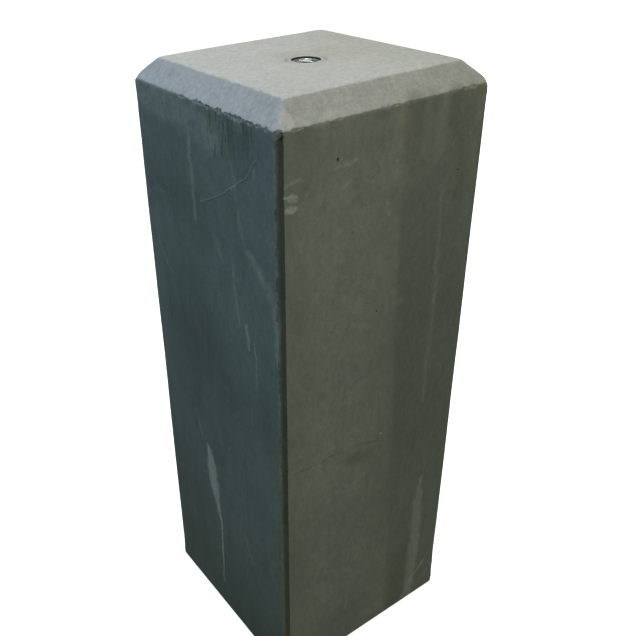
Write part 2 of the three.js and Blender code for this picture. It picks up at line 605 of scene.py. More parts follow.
left_inset = x_at + half
right_inset = y_at + half
left_loss = np.maximum.reduce([
    chip_loss(y_at, left_inset, on_left_shoulder, left_chips, left_share, 11),
    ragged_loss(y_at, left_inset, on_left_shoulder, -84 * MM, 20 * MM, 0.85 * MM, 12),
    ragged_loss(y_at, left_inset, on_left_shoulder, 20 * MM, 84 * MM, 0.35 * MM, 14),
])
right_loss = np.maximum(
    chip_loss(x_at, right_inset, on_right_shoulder, right_chips, right_share, 16),
    ragged_loss(x_at, right_inset, on_right_shoulder, -84 * MM, 84 * MM, 0.4 * MM, 17),
)
far_left_loss = ragged_loss(x_at, half - y_at, (y_at > half - 8 * MM) & near_shoulder, -1, 1, 0.45 * MM, 19)
far_right_loss = ragged_loss(y_at, half - x_at, (x_at > half - 8 * MM) & near_shoulder, -1, 1, 0.45 * MM, 21)

corner_lean = np.array([-0.62, -0.62, 0.48])
from_corner = (grid - (-half + arris / 2, -half + arris / 2, shoulder)) @ corner_lean
corner_loss = np.clip(from_corner + (0.5 + 0.8 * edge_noise) * MM, 0, 3 * MM)
corner_loss *= (np.hypot(left_inset, right_inset) < 11 * MM) & near_shoulder
print(f"{(left_loss > 0.1 * MM).sum()} vertices lose concrete on the left shoulder")

# %% Crumbs off the near arris
# Each is how high it lies, how tall it is and how wide.
arris_crumbs = [(475, 5, 3), (460, 4, 2.5), (441, 7, 3), (415, 6, 2.5), (373, 5, 2), (310, 6, 2), (236, 4, 2)]
near_line = np.hypot(x_at + half, y_at + half - arris)
near_arris = (near_line < 7 * MM) & (z_at < shoulder)
arris_noise = masked_ripple(grid, near_arris, 3.0 * MM, 4)
arris_slow = masked_ripple(grid, near_arris, 14 * MM, 5)

crumbled = np.zeros(len(grid))
for up, tall, wide in arris_crumbs:
    oval = np.hypot((z_at - up * MM) / (tall / 2 * MM), near_line / (wide / 2 * MM)) + 0.4 * arris_noise
    crumbled = np.maximum(crumbled, near_arris * smooth_step((1 - oval) / 0.4))
arris_width = 1.1 * MM * np.clip(0.45 + 1.2 * arris_slow + 0.9 * arris_noise, 0, 2)
crumbled = np.maximum(crumbled, 0.6 * near_arris * smooth_step((arris_width - near_line) / (0.5 * MM)))
strip = (np.abs(x_at) + np.abs(y_at) > 2 * half - arris - 0.01 * MM) & (z_at < shoulder + 0.5 * MM)

# %% Scrapes, holes, the raised hairline and the ring round the socket
# The distances are taken from points that wander a little, so no mark has a ruled edge.
def wandering(points, size, reach, seed):
    shifts = [ripple(points, size, seed + axis) for axis in range(3)]
    return points + reach * np.array(shifts).T


loose = wandering(wandering(grid, 9 * MM, 1.3 * MM, 31), 2.5 * MM, 0.5 * MM, 41)


def strongest(marks, sharpen=lambda mask: mask):
    """The strongest of some marks at each vertex. A mark without a strength counts fully."""
    mask = np.zeros(len(grid))
    for path, half_width, *strength in marks:
        mask = np.maximum(mask, math.prod(strength) * sharpen(soft_mask(loose, path, half_width)))
    return mask


bevel_pits = [(-1.6, 1.0), (15.1, 1.2), (34.5, 0.9), (53.2, 1.0)]
pit_row = [([(x * MM, -76.5 * MM, 498.5 * MM)], radius) for x, radius in bevel_pits]
scraped = strongest(scrapes)
holed = strongest(air_holes)
pitted = strongest(pit_row)
raised = soft_mask(wandering(grid, 4 * MM, 0.5 * MM, 51), *hairline)
from_socket = np.hypot(x_at - socket_x, y_at - socket_y)
ring_noise = 0.5 + 0.5 * np.cos(2 * np.arctan2(y_at - socket_y, x_at - socket_x) + 1.2)
on_top = z_at > height - 0.1 * MM
ringed = on_top * ring_noise * smooth_step(1 - np.abs(from_socket - mark_ring) / (2.6 * MM))

# %% Colour masks
def rise(values, start, span):
    """From 0 to 1 over a span that begins at the start, both in millimetres."""
    return smooth_step((values - start * MM) / (span * MM))


pale = strongest(pale_marks + broad_pale_marks)
crisp = strongest(crisp_marks, lambda mask: smooth_step(2.5 * mask - 0.75))
dark = strongest(dark_marks + broad_dark_marks)
ochred = strongest(ochre_marks)

# The far half of the right face is a broad darker zone with an uneven left edge.
shade_from = 6 * MM + (430 * MM - z_at) * 0.035
on_right_face = y_at < -half + 2 * MM
shade = on_right_face * rise(loose[:, 0] - shade_from, 0, 8) * rise(-z_at, -485, 110)
shade *= 1 - 0.4 * rise(x_at, 66, 8) * rise(z_at, 330, 90)
shade *= 1 - 0.35 * rise(-z_at, -250, 120)

# Below the left shoulder the mould dragged at the skin and left upright streaks.
dragged = (x_at < -half + 2 * MM) * rise(drop, -2, 4) * rise(-drop, -36, 26)
dragged *= rise(y_at, -78, 16) * rise(-y_at, -6, 24)

# A thin line of lime and rust runs down the left edge of the near arris.
lime = near_arris * smooth_step(1.5 - near_line / (1.2 * MM))
lime *= np.clip(0.55 + 1.3 * arris_slow + 0.8 * arris_noise, 0, 1)
bevelled = (z_at < height - 0.01 * MM) & (z_at > shoulder - 20 * MM)

# The plateau's edge is darker, in broken stretches.
from_lip = np.abs(np.maximum(np.abs(x_at), np.abs(y_at)) - half + bevel)
by_lip = (z_at > height - 3 * MM) & (from_lip < 4 * MM)
lip_noise = 1.1 * masked_ripple(grid, by_lip, 7 * MM, 61) + masked_ripple(grid, by_lip, 2.2 * MM, 62)
lip = by_lip * smooth_step(1.4 - from_lip / (1.1 * MM)) * np.clip(0.5 + lip_noise, 0, 1)


def store(piece, name, values):
    attribute = piece.data.attributes.new(name, "FLOAT", "POINT")
    attribute.data.foreach_set("value", np.asarray(values, dtype=np.float32))


for name, values in {
    "pale": pale,
    "crisp": crisp,
    "shade": shade,
    "dragged": dragged,
    "lip": lip,
    "ochred": ochred,
    "lime": lime,
    "bevelled": bevelled,
    "dark": dark,
    "broken": np.clip(np.maximum(left_loss, right_loss) / (0.4 * MM), 0, 1),
    "crumbled": crumbled,
    "strip": strip,
    "scraped": scraped,
    "holed": np.maximum(holed, pitted),
    "raised": raised,
    "ringed": ringed,
}.items():
    store(block, name, values)
    print(f"{name}: {(values > 0.05).sum()} vertices")

# %% [markdown]
# ## Wearing the block
#
# Each kind of wear is one modifier with its own vertex group: Smooth rounds the arrises,
# and Displace pushes the surface along its normals. Everything is pushed inwards except
# the hairline, a thin fin that the mould left, so the block never outgrows its solid.

# %% Helpers for a modifier that works on part of the surface
def weigh(piece, name, weights):
    group = piece.vertex_groups.new(name=name)
    for index in np.flatnonzero(weights > 0.01):
        group.add([int(index)], float(weights[index]), "REPLACE")
    return group.name


def clouds(name, size, depth):
    texture = bpy.data.textures.new(name, "CLOUDS")
    texture.noise_scale = size
    texture.noise_depth = depth
    return texture


def press(piece, name, weights, strength, texture=None, middle=0.0, direction="NORMAL"):
    """Push part of the surface: along its normals, out for plus, or along one axis."""
    modifier = piece.modifiers.new(name, "DISPLACE")
    modifier.direction = direction
    modifier.vertex_group = weigh(piece, name, weights)
    modifier.strength = strength
    modifier.mid_level = middle
    if texture:
        modifier.texture = texture
        modifier.texture_coords = "LOCAL"
    settle(piece, modifier)


def round_off(piece, name, weights, rounds):
    modifier = piece.modifiers.new(name, "SMOOTH")
    modifier.vertex_group = weigh(piece, name, weights)
    modifier.factor = 0.5
    modifier.iterations = rounds
    settle(piece, modifier)


# %% Round the arrises a little, more where the block was knocked
edge_away = np.full(len(grid), far_off)
for path, fine in worn_edges():
    for run in runs_of(path, 1):
        away, width = reach_to_run(grid, *run)
        edge_away = np.minimum(edge_away, away)
wear = 0.75 + 0.35 * masked_ripple(grid, edge_away < 6 * MM, 22 * MM, 6)
round_off(block, "arris_wear", np.clip(wear * smooth_step(1 - edge_away / (4 * MM)), 0, 1), rounds=5)


def corner_reach(x_side, y_side):
    """How far each point is from an upright corner and the mitre above it."""
    line = [(half - 2 * MM, 0), (half, shoulder), (half - bevel, height)]
    line = [(x_side * out, y_side * out, up) for out, up in line]
    return np.minimum(*(reach_to_run(grid, *ends, 0, 0)[0] for ends in zip(line, line[1:])))


far_corners = np.minimum.reduce([corner_reach(-1, 1), corner_reach(1, -1), corner_reach(1, 1)])
round_off(block, "soft_corners", smooth_step(1.3 - far_corners / (5 * MM)), rounds=4)


tip_size = 4 * MM


def blunt_tip(x_side, y_side, level, up):
    """Cut a far corner back with one slanting facet, which is then smoothed over."""
    lean = np.array([0.6 * x_side, 0.6 * y_side, 0.53 * up])
    tip = np.array([x_side * (half - arris / 2), y_side * (half - arris / 2), level])
    away = np.linalg.norm(grid - tip, axis=1)
    cut_back = (1.4 - 0.4 * up) * MM
    cut = (away < 9 * MM) * np.clip((grid - tip) @ lean + cut_back, 0, None) / tip_size
    name = f"tip_{x_side}_{y_side}_{up}"
    for axis, share in zip("XYZ", lean):
        press(block, f"{name}_{axis.lower()}", cut, -share * tip_size, direction=axis)
    round_off(block, name + "_smooth", smooth_step(1.5 - away / tip_size), rounds=4)


for x_side, y_side in ((-1, 1), (1, -1), (1, 1)):
    blunt_tip(x_side, y_side, shoulder, 1)
    blunt_tip(x_side, y_side, 0, -1)
near_mitre = ((-half, -half, shoulder), (-half + bevel, -half + bevel, height))
mitre_away = reach_to_run(grid, *near_mitre, 0, 0)[0]
mitre_wear = smooth_step(1.2 - mitre_away / (4 * MM)) * smooth_step((height - z_at) / (7 * MM))
round_off(block, "near_mitre", mitre_wear * (z_at > shoulder + MM), rounds=5)

# %% Let the cast faces wander, as a used mould leaves them
above_foot = smooth_step(z_at / (25 * MM)) * smooth_step(np.where(on_top, from_socket / (22 * MM) - 0.5, 1))
press(block, "mould_waves", above_foot, -0.7 * MM, clouds("mould_waves", 0.11, 1))
press(block, "trowel_ripple", above_foot, -0.22 * MM, clouds("trowel_ripple", 0.018, 2))

# %% Break the edges
# A facet's depth is carried as a weight, where 1 stands for the deepest loss, and the
# surface is moved straight back and down onto the facet.
deepest = 4 * MM
facet_back, facet_down = 0.92, 0.38
stone_grain = clouds("stone_grain", 2.0 * MM, 3)


def knock_off(piece, name, loss, axis, inwards):
    weights = np.clip(loss / deepest, 0, 1)
    press(piece, name + "_back", weights, inwards * facet_back * deepest, direction=axis)
    press(piece, name + "_down", weights, -facet_down * deepest, direction="Z")


knock_off(block, "left_loss", left_loss, "X", 1)
knock_off(block, "right_loss", right_loss, "Y", 1)
knock_off(block, "far_left_loss", far_left_loss, "Y", -1)
knock_off(block, "far_right_loss", far_right_loss, "X", -1)
knock_off(block, "corner_loss_x", 0.7 * corner_loss, "X", 1)
press(block, "corner_loss_y", 0.7 * corner_loss / deepest, facet_back * deepest, direction="Y")
bare = smooth_step(np.maximum.reduce([left_loss, right_loss, corner_loss]) / (0.7 * MM))
press(block, "bare_grain", bare, -0.9 * MM, stone_grain, 0.35)
press(block, "crumbs", crumbled, -0.9 * MM)
press(block, "crumb_grain", crumbled, -0.8 * MM, stone_grain, 0.3)

# %% Scratch, pit and raise
press(block, "scraped", scraped, -0.45 * MM, stone_grain, -0.6)
press(block, "holed", holed, -2.2 * MM)
press(block, "pitted", pitted, -0.9 * MM)
press(block, "raised", raised, 0.25 * MM)
press(block, "ringed", ringed, -0.15 * MM)
bpy.context.view_layer.update()
worn = vertex_places(block)
print("worn block spans", (worn.max(axis=0) - worn.min(axis=0)).round(5).tolist())

# %% [markdown]
# ## The mouth of the socket
#
# The sleeve was held on a stub in the mould, so the concrete stops just short of it and
# leaves a rough-lipped round hole. A cylinder with a flared top is taken away from the
# block with a Boolean, which is how such a hole is cleanest to make late, when the grid
# round it is already fine.

# %% A cutter with a flared lip
flare = 0.4 * MM


def take_away(piece, cutter):
    modifier = piece.modifiers.new("cut", "BOOLEAN")
    modifier.operation = "DIFFERENCE"
    modifier.solver = "EXACT"
    modifier.object = cutter
    settle(piece, modifier)
    bpy.data.objects.remove(cutter)


def round_bar(radius, low, high, sides):
    deselect_all()
    middle = (socket_x, socket_y, (low + high) / 2)
    bpy.ops.mesh.primitive_cylinder_add(vertices=sides, radius=radius, depth=high - low, location=middle)
    bar = bpy.context.object
    apply_place(bar)
    return bar


def select_faces(piece, wanted):
    """Select, from object mode, only the faces for which wanted(centre, normal) holds."""
    for vertex in piece.data.vertices:
        vertex.select = False
    for line in piece.data.edges:
        line.select = False
    for face in piece.data.polygons:
        face.select = wanted(face.center, face.normal)


def grow_end(piece, steps):
    """Extrude the top face again and again: (how far up, the new radius)."""
    top = max(vertex.co.z for vertex in piece.data.vertices)
    select_faces(piece, lambda centre, normal: normal.z > 0.9 and centre.z > top - 1e-5)
    edit(piece)
    for rise, scale in steps:
        bpy.ops.mesh.extrude_region_move(TRANSFORM_OT_translate={"value": (0, 0, rise)})
        bpy.ops.transform.resize(value=(scale, scale, 1), center_override=(socket_x, socket_y, top))
    stop_editing()


mouth_radius = sleeve_radius + cast_gap
mouth_cutter = round_bar(mouth_radius, socket_low.z - cast_gap, height - flare, 96)
grow_end(mouth_cutter, [(flare, (mouth_radius + flare) / mouth_radius), (3 * MM, 1.0)])
take_away(block, mouth_cutter)
print(f"the block has {len(block.data.polygons)} faces with its socket cut")

# %% [markdown]
# ## The threaded sleeve
#
# On the real block this is a zinc-plated steel sleeve with an M16 thread, flush in a round
# hole. Only a few turns of the thread can be seen, but they catch the light, so the thread
# is real geometry: a pointed profile is carried up a helix by the Screw modifier and taken
# away from the bored sleeve.

# %% The turned blank
# An M16 thread is cut into a hole of 13.84 mm, out to 16 mm, with a turn every 2 mm.
bore_radius = 6.918 * MM
thread_radius = 8 * MM
pitch = 2 * MM
bore_depth = 60 * MM
bore_floor = rim - bore_depth


def make_sleeve():
    sleeve = round_bar(sleeve_radius, socket_low.z, rim - 0.4 * MM, 96)
    sleeve.name = "threaded_sleeve"
    grow_end(sleeve, [(0.4 * MM, 1 - 0.4 * MM / sleeve_radius)])
    drill = round_bar(bore_radius, bore_floor, rim - 1.1 * MM, 96)
    grow_end(drill, [(1.2 * MM, (thread_radius + 0.15 * MM) / bore_radius), (2 * MM, 1.0)])
    take_away(sleeve, drill)
    return sleeve


# %% A helical cutter for the thread
def make_thread_cutter():
    """Four points of a pointed profile, carried up a helix by the Screw modifier."""
    root, crest = bore_radius - 0.3 * MM, thread_radius
    wide, narrow = 0.93 * MM, 0.13 * MM
    low = bore_floor + 5 * MM
    deselect_all()
    bpy.ops.mesh.primitive_plane_add(size=1, location=(0, 0, 0))
    cutter = bpy.context.object
    profile = [(root, -wide), (crest, -narrow), (crest, narrow), (root, wide)]
    order = [0, 1, 3, 2]
    for index, (out, up) in zip(order, profile):
        cutter.data.vertices[index].co = (out, 0, low + up)
    edit(cutter)
    bpy.ops.mesh.select_all(action="SELECT")
    bpy.ops.mesh.delete(type="ONLY_FACE")
    stop_editing()
    screw = cutter.modifiers.new("thread", "SCREW")
    screw.axis = "Z"
    screw.screw_offset = pitch
    screw.iterations = round((rim + 3 * MM - low) / pitch)
    screw.steps = 72
    screw.render_steps = 72
    screw.use_merge_vertices = False
    settle(cutter, screw)
    edit(cutter)
    bpy.ops.mesh.select_all(action="SELECT")
    bpy.ops.mesh.fill_holes(sides=4)
    bpy.ops.mesh.select_all(action="SELECT")
    bpy.ops.mesh.normals_make_consistent(inside=False)
    stop_editing()
    cutter.data.transform(Matrix.Translation((socket_x, socket_y, 0)))
    return cutter


sleeve = make_sleeve()
thread_cutter = make_thread_cutter()
print(f"thread cutter: {len(thread_cutter.data.polygons)} faces")
take_away(sleeve, thread_cutter)
print(f"threaded sleeve: {len(sleeve.data.polygons)} faces")


def open_edges(piece):
    counts = np.zeros(len(piece.data.edges), int)
    loops = np.empty(len(piece.data.loops), int)
    piece.data.loops.foreach_get("edge_index", loops)
    np.add.at(counts, loops, 1)
    return int((counts != 2).sum())


print("open edges:", open_edges(block), open_edges(sleeve))

# %% Smooth shading, with the real edges kept
for piece in (block, sleeve):
    pick(piece)
    bpy.ops.object.shade_smooth_by_angle(angle=math.radians(32))

# %% [markdown]
# ## Materials
#
# Cast concrete is never one colour. The sides, which lay against the oiled mould, are dark
# and smooth, with soft clouds and vertical runs. The top and the bevels are paler and
# chalkier. Part of that contrast is painted light: the top is painted paler and the sides
# darker than the concrete alone would be. The bevels are painted a little darker than the
# top as painted shade, and the left bevel takes a painted cool light. On top of that come
# sand grain, pin holes and the marks of handling. Patterns read Object coordinates, so they
# are in metres and stay put on the piece.

# %% A helper that adds nodes to one tree and wires them
class Wiring:
    def __init__(self, tree):
        self.tree = tree

    def feed(self, socket, value):
        """Give a socket either another socket's output or a plain number or colour."""
        if isinstance(value, bpy.types.NodeSocket):
            self.tree.links.new(value, socket)
        elif socket.type == "RGBA" and len(value) == 3:
            socket.default_value = (*value, 1)
        else:
            socket.default_value = value

    def add(self, kind, given=None, **settings):
        """A new node: what its sockets are given, by name or number, and its settings."""
        node = self.tree.nodes.new("ShaderNode" + kind)
        for name, value in settings.items():
            setattr(node, name, value)
        for key, value in (given or {}).items():
            self.feed(node.inputs[key], value)
        return node

    def math(self, operation, *values, clamp=False):
        return self.add("Math", dict(enumerate(values)), operation=operation, use_clamp=clamp).outputs[0]

    def times(self, first, second, clamp=False):
        return self.math("MULTIPLY", first, second, clamp=clamp)

    def line(self, value, slope, start):
        """slope x value + start"""
        return self.math("MULTIPLY_ADD", value, slope, start)

    def mix(self, share, first, second, blend="MIX"):
        given = {0: share, 6: first, 7: second}
        return self.add("Mix", given, data_type="RGBA", blend_type=blend, clamp_factor=True).outputs[2]

    def coat(self, colour, *coats):
        """Lay coats over a colour, one after another: how much of each, and its colour."""
        for share, paint in coats:
            colour = self.mix(share, colour, paint)
        return colour

    def between(self, value, low, high, to_low=0, to_high=1, smooth=True):
        """Spread the values from low to high over another range, and hold them at its ends."""
        kind = "SMOOTHSTEP" if smooth else "LINEAR"
        given = dict(enumerate((value, low, high, to_low, to_high)))
        return self.add("MapRange", given, interpolation_type=kind).outputs[0]

    def noise(self, place, scale, detail=2, roughness=0.5, distortion=0):
        given = {"Vector": place, "Scale": scale, "Detail": detail}
        given |= {"Roughness": roughness, "Distortion": distortion}
        return self.add("TexNoise", given, noise_dimensions="3D").outputs["Fac"]

    def stretched(self, place, scale):
        return self.add("Mapping", {"Vector": place, "Scale": scale}).outputs["Vector"]

    def mark(self, name):
        return self.add("Attribute", attribute_type="GEOMETRY", attribute_name=name).outputs["Fac"]

    def use(self, group, **values):
        node = self.add("Group", node_tree=group)
        for name, value in values.items():
            self.feed(node.inputs[name], value)
        return node.outputs

    def places(self):
        """Object coordinates, and the same split into x, y and z."""
        place = self.add("TexCoord").outputs["Object"]
        return place, *self.add("SeparateXYZ", {0: place}).outputs

    def from_socket_axis(self, place):
        flat = self.stretched(place, (1, 1, 0))
        axis = (socket_x, socket_y, 0)
        return self.add("VectorMath", {0: flat, 1: axis}, operation="DISTANCE").outputs["Value"]

    def finish(self, shader, colour, rough, relief, strength, distance):
        bump = self.add("Bump", {"Strength": strength, "Distance": distance, "Height": relief}).outputs[0]
        for name, value in {"Base Color": colour, "Roughness": rough, "Normal": bump}.items():
            self.feed(shader.inputs[name], value)


def new_material(name):
    material = bpy.data.materials.new(name)
    material.use_nodes = True
    return material, Wiring(material.node_tree), material.node_tree.nodes["Principled BSDF"]


# %% A group is built once and placed in each material that uses it
def start_group(name, inputs, outputs):
    tree = bpy.data.node_groups.new(name, "ShaderNodeTree")
    tree.interface.new_socket(name="Place", in_out="INPUT", socket_type="NodeSocketVector")
    for label, value in inputs.items():
        socket = tree.interface.new_socket(name=label, in_out="INPUT", socket_type="NodeSocketFloat")
        socket.default_value = value
    for label in outputs:
        tree.interface.new_socket(name=label, in_out="OUTPUT", socket_type="NodeSocketFloat")
    given = tree.nodes.new("NodeGroupInput").outputs
    return Wiring(tree), given, tree.nodes.new("NodeGroupOutput").inputs


# %% Clouds at three sizes, for concrete and for dulled zinc
def build_mottle():
    wire, given, out = start_group("mottle", {"Scale": 10}, ["Clouds", "Patches", "Grain"])
    place, scale = given["Place"], given["Scale"]
    broad = wire.noise(place, scale, 3, 0.55)
    middle = wire.noise(place, wire.times(scale, 5), 3, 0.6, 0.4)
    fine = wire.noise(place, wire.times(scale, 60), 2, 0.7)
    wire.feed(out["Clouds"], wire.between(broad, 0.3, 0.7))
    wire.feed(out["Patches"], wire.between(middle, 0.28, 0.72))
    wire.feed(out["Grain"], wire.between(fine, 0.25, 0.75, smooth=False))
    return wire.tree


mottle = build_mottle()

# %% Dust and grime in patches, for the sleeve, where it also lays painted shade deep in the bore
def build_dust():
    wire, given, out = start_group("dust", {"Scale": 60, "Amount": 0.5}, ["Dust"])
    spread = wire.noise(given["Place"], given["Scale"], 4, 0.65, 0.6)
    edge = wire.math("SUBTRACT", 1, given["Amount"])
    over = wire.math("SUBTRACT", spread, wire.times(edge, 0.75))
    wire.feed(out["Dust"], wire.between(over, 0, 0.18))
    return wire.tree


dust = build_dust()

# %% Pin holes: a few dots of painted shade, each of its own size
def pin_holes(wire, place, scale, share):
    cells = wire.add("TexVoronoi", {"Vector": place, "Scale": scale}, feature="F1", voronoi_dimensions="3D")
    chance = wire.add("SeparateColor", {0: cells.outputs["Color"]}).outputs[0]
    size = wire.between(chance, 1 - share, 1, 0, 0.13, smooth=False)
    return wire.between(wire.math("SUBTRACT", size, cells.outputs["Distance"]), 0, 0.03)


# %% Chalky concrete: the top and the bevels, with painted light and shade in their colour
def chalk_colour_and_painted_light(wire, x, y, clouds_here, place):
    slopes = wire.between(wire.mark("bevelled"), 0.1, 0.6, 0, 0.85)
    # Painted cool light: the left bevel is tinted blue, more so towards its far end.
    painted_cool_light = wire.times(slopes, wire.between(x, -half + bevel, -half + bevel - MM, 0, 0.25))
    painted_cool_light = wire.times(painted_cool_light, wire.between(y, 45 * MM, 86 * MM, 1, 2.2))
    return wire.coat(
        wire.mix(clouds_here["Clouds"], (0.44, 0.435, 0.4), (0.5, 0.495, 0.465)),
        (wire.between(y, 30 * MM, -60 * MM, 0, 0.22), (0.33, 0.33, 0.295)),
        # Painted shade: the bevels are darker than the top.
        (slopes, (0.3, 0.305, 0.28)),
        (painted_cool_light, (0.45, 0.45, 0.46)),
        (wire.between(x, -10 * MM, 75 * MM, 0, 0.3), (0.33, 0.33, 0.295)),
        (wire.times(slopes, wire.between(clouds_here["Patches"], 0.4, 0.9, 0, 0.35)), (0.24, 0.25, 0.235)),
        (wire.times(wire.mark("ochred"), 0.7), (0.25, 0.225, 0.15)),
        (wire.times(slopes, wire.between(x, -60 * MM, 70 * MM, 0, 0.5)), (0.24, 0.24, 0.215)),
        (wire.between(wire.noise(place, 17), 0.52, 0.75, 0, 0.5), (0.36, 0.34, 0.27)),
        (wire.times(wire.mark("lip"), 0.45), (0.24, 0.25, 0.21)),
    )


# %% Cast skin: the four sides, darker than the top partly as painted shade, and with painted shade darkening them towards the foot
def skin_colour_and_painted_shade(wire, z, on_left_face, clouds_here, runs, place):
    return wire.coat(
        wire.mix(clouds_here["Clouds"], (0.115, 0.127, 0.107), (0.165, 0.18, 0.152)),
        (wire.between(runs["Clouds"], 0.1, 0.9, 0, 0.22), (0.19, 0.205, 0.178)),
        (wire.between(runs["Patches"], 0.4, 1, 0, 0.12), (0.1, 0.105, 0.088)),
        (wire.between(clouds_here["Patches"], 0.45, 1, 0, 0.3), (0.105, 0.115, 0.098)),
        (wire.between(wire.noise(place, 22), 0.6, 0.78, 0, 0.35), (0.19, 0.175, 0.12)),
        (wire.mark("ochred"), (0.2, 0.18, 0.105)),
        # Painted shade: darker towards the foot, and more so low on the left face.
        (wire.between(z, 0, 0.42, 0.28, 0, smooth=False), (0.07, 0.072, 0.06)),
        (wire.times(on_left_face, wire.between(z, 10 * MM, 100 * MM, 0.4, 0)), (0.055, 0.058, 0.05)),
    )


# %% What wear leaves on it: rubble, darker arrises, drag streaks, rubs and scratches, with a painted highlight on the hairline and painted shade in the scratches and holes
def worn_colour(wire, colour, x, y, z, strip, on_left_face, clouds_here, place):
    rubble = wire.mix(clouds_here["Grain"], (0.085, 0.09, 0.072), (0.26, 0.27, 0.225))
    strip_colour = wire.mix(clouds_here["Patches"], (0.045, 0.053, 0.037), (0.085, 0.092, 0.068))
    olive = wire.times(strip, wire.between(x, -half + 0.7 * MM, -half + 2 * MM, 0.8, 0))
    uneven = wire.noise(place, 160, 4, 0.75)
    pulled = wire.noise(wire.stretched(place, (1, 1, 0.07)), 520, 2, 0.6)
    dragged = wire.mark("dragged")
    drag_pale = wire.times(dragged, wire.between(pulled, 0.34, 0.46, 0.3, 0))
    rubbed = wire.times(wire.mark("pale"), wire.between(uneven, 0.3, 0.62, 0.35, 1.15), clamp=True)
    evenly = wire.times(wire.mark("crisp"), wire.between(uneven, 0.3, 0.62, 0.85, 1.1))
    lime = wire.mix(wire.between(z, 0.2, 0.34, 1, 0), (0.2, 0.22, 0.18), (0.19, 0.18, 0.085))
    # Painted shade in the scrapes, broken up along them.
    painted_scratch_shade = wire.times(wire.mark("scraped"), wire.between(uneven, 0.35, 0.6, 0.12, 0.48))
    return wire.coat(
        colour,
        (wire.between(wire.mark("broken"), 0.15, 0.5), rubble),
        # The narrow arrises are darker than the faces beside them, darkest away from the left face.
        (wire.times(strip, 0.85), strip_colour),
        (wire.times(strip, wire.between(x, -half + 1.2 * MM, -half + 2.8 * MM, 0, 0.6)), (0.03, 0.03, 0.022)),
        (wire.times(olive, wire.between(z, 0.2, 0.36, 1, 0)), (0.14, 0.14, 0.055)),
        (wire.times(wire.between(wire.mark("crumbled"), 0.25, 0.6), 0.7), rubble),
        (wire.times(wire.mark("shade"), 0.55), (0.07, 0.074, 0.062)),
        (wire.times(dragged, wire.between(pulled, 0.5, 0.64, 0, 0.6)), (0.06, 0.065, 0.05)),
        (wire.times(drag_pale, wire.between(y, 30 * MM, 2 * MM, 0.2, 1)), (0.24, 0.25, 0.19)),
        (
            wire.math("MAXIMUM", rubbed, evenly, clamp=True),
            wire.mix(on_left_face, (0.4, 0.42, 0.4), (0.46, 0.43, 0.33)),
        ),
        (wire.times(wire.mark("lime"), 0.85), lime),
        # Painted highlight along the raised hairline.
        (wire.times(wire.mark("raised"), wire.between(uneven, 0.35, 0.6, 0.1, 0.6)), (0.28, 0.29, 0.26)),
        (wire.mark("dark"), (0.075, 0.075, 0.05)),
        (wire.times(wire.mark("ringed"), 0.5), (0.15, 0.15, 0.13)),
        # Painted shade in the air holes, the bevel pits and the scrapes.
        (wire.math("MAXIMUM", wire.mark("holed"), painted_scratch_shade), (0.025, 0.026, 0.02)),
    )


# %% Concrete: the skin ends in an uneven line at the shoulder
def concrete_material():
    material, wire, shader = new_material("cast_concrete")
    place, x, y, z = wire.places()
    jitter = wire.noise(place, 420, 3, 0.6)
    level = wire.math("ADD", z, wire.line(jitter, 1.6 * MM, -0.8 * MM))
    sides = wire.between(level, shoulder - 0.3 * MM, shoulder + 0.5 * MM, 1, 0)
    strip = wire.math("ADD", wire.mark("strip"), wire.line(jitter, 0.9, -0.45))
    strip = wire.times(wire.between(strip, 0.45, 0.7), sides)
    on_left_face = wire.between(x, -half + MM, -half + 3 * MM, 1, 0)

    clouds_here = wire.use(mottle, Place=place, Scale=9)
    runs = wire.use(mottle, Place=wire.stretched(place, (1, 1, 0.16)), Scale=13)
    chalk = chalk_colour_and_painted_light(wire, x, y, clouds_here, place)
    skin = skin_colour_and_painted_shade(wire, z, on_left_face, clouds_here, runs, place)
    colour = wire.mix(sides, chalk, skin)
    colour = worn_colour(wire, colour, x, y, z, strip, on_left_face, clouds_here, place)

    # Painted shadow: the wall of the socket's mouth, below its lip, is painted near black.
    from_axis = wire.from_socket_axis(place)
    in_mouth = wire.between(from_axis, mouth_radius + 0.35 * MM, mouth_radius + 0.6 * MM, 1, 0)
    below_lip = wire.between(z, height - 0.45 * MM, height - 0.15 * MM, 1, 0)
    # Painted shade in the pin holes.
    holes = wire.times(pin_holes(wire, place, 130, 0.14), 0.55)
    colour = wire.coat(
        colour,
        (wire.times(in_mouth, below_lip), (0.015, 0.015, 0.012)),
        (holes, (0.05, 0.05, 0.04)),
    )

    grains = wire.noise(place, 1500, 2, 0.7)
    speckle = wire.noise(place, 520, 3, 0.75)
    brushed = wire.noise(wire.stretched(place, (1, 1, 0.45)), 260, 3, 0.75)
    sandy = wire.line(speckle, 0.58, wire.line(grains, 0.36, 0.54))
    sandy = wire.line(wire.math("SUBTRACT", brushed, 0.47), 0.6, sandy)
    grey = wire.add("CombineColor", {0: sandy, 1: sandy, 2: sandy}).outputs[0]
    colour = wire.mix(1, colour, grey, "MULTIPLY")

    chalky = wire.line(clouds_here["Patches"], 0.12, 0.78)
    smooth_skin = wire.line(runs["Patches"], 0.16, 0.5)
    rough = wire.add("Mix", {0: sides, 2: chalky, 3: smooth_skin}, data_type="FLOAT").outputs[0]
    relief = wire.line(clouds_here["Grain"], 0.5, grains)
    relief = wire.math("SUBTRACT", relief, wire.times(holes, 3))
    wire.finish(shader, colour, rough, relief, 0.35, 0.25 * MM)
    return material


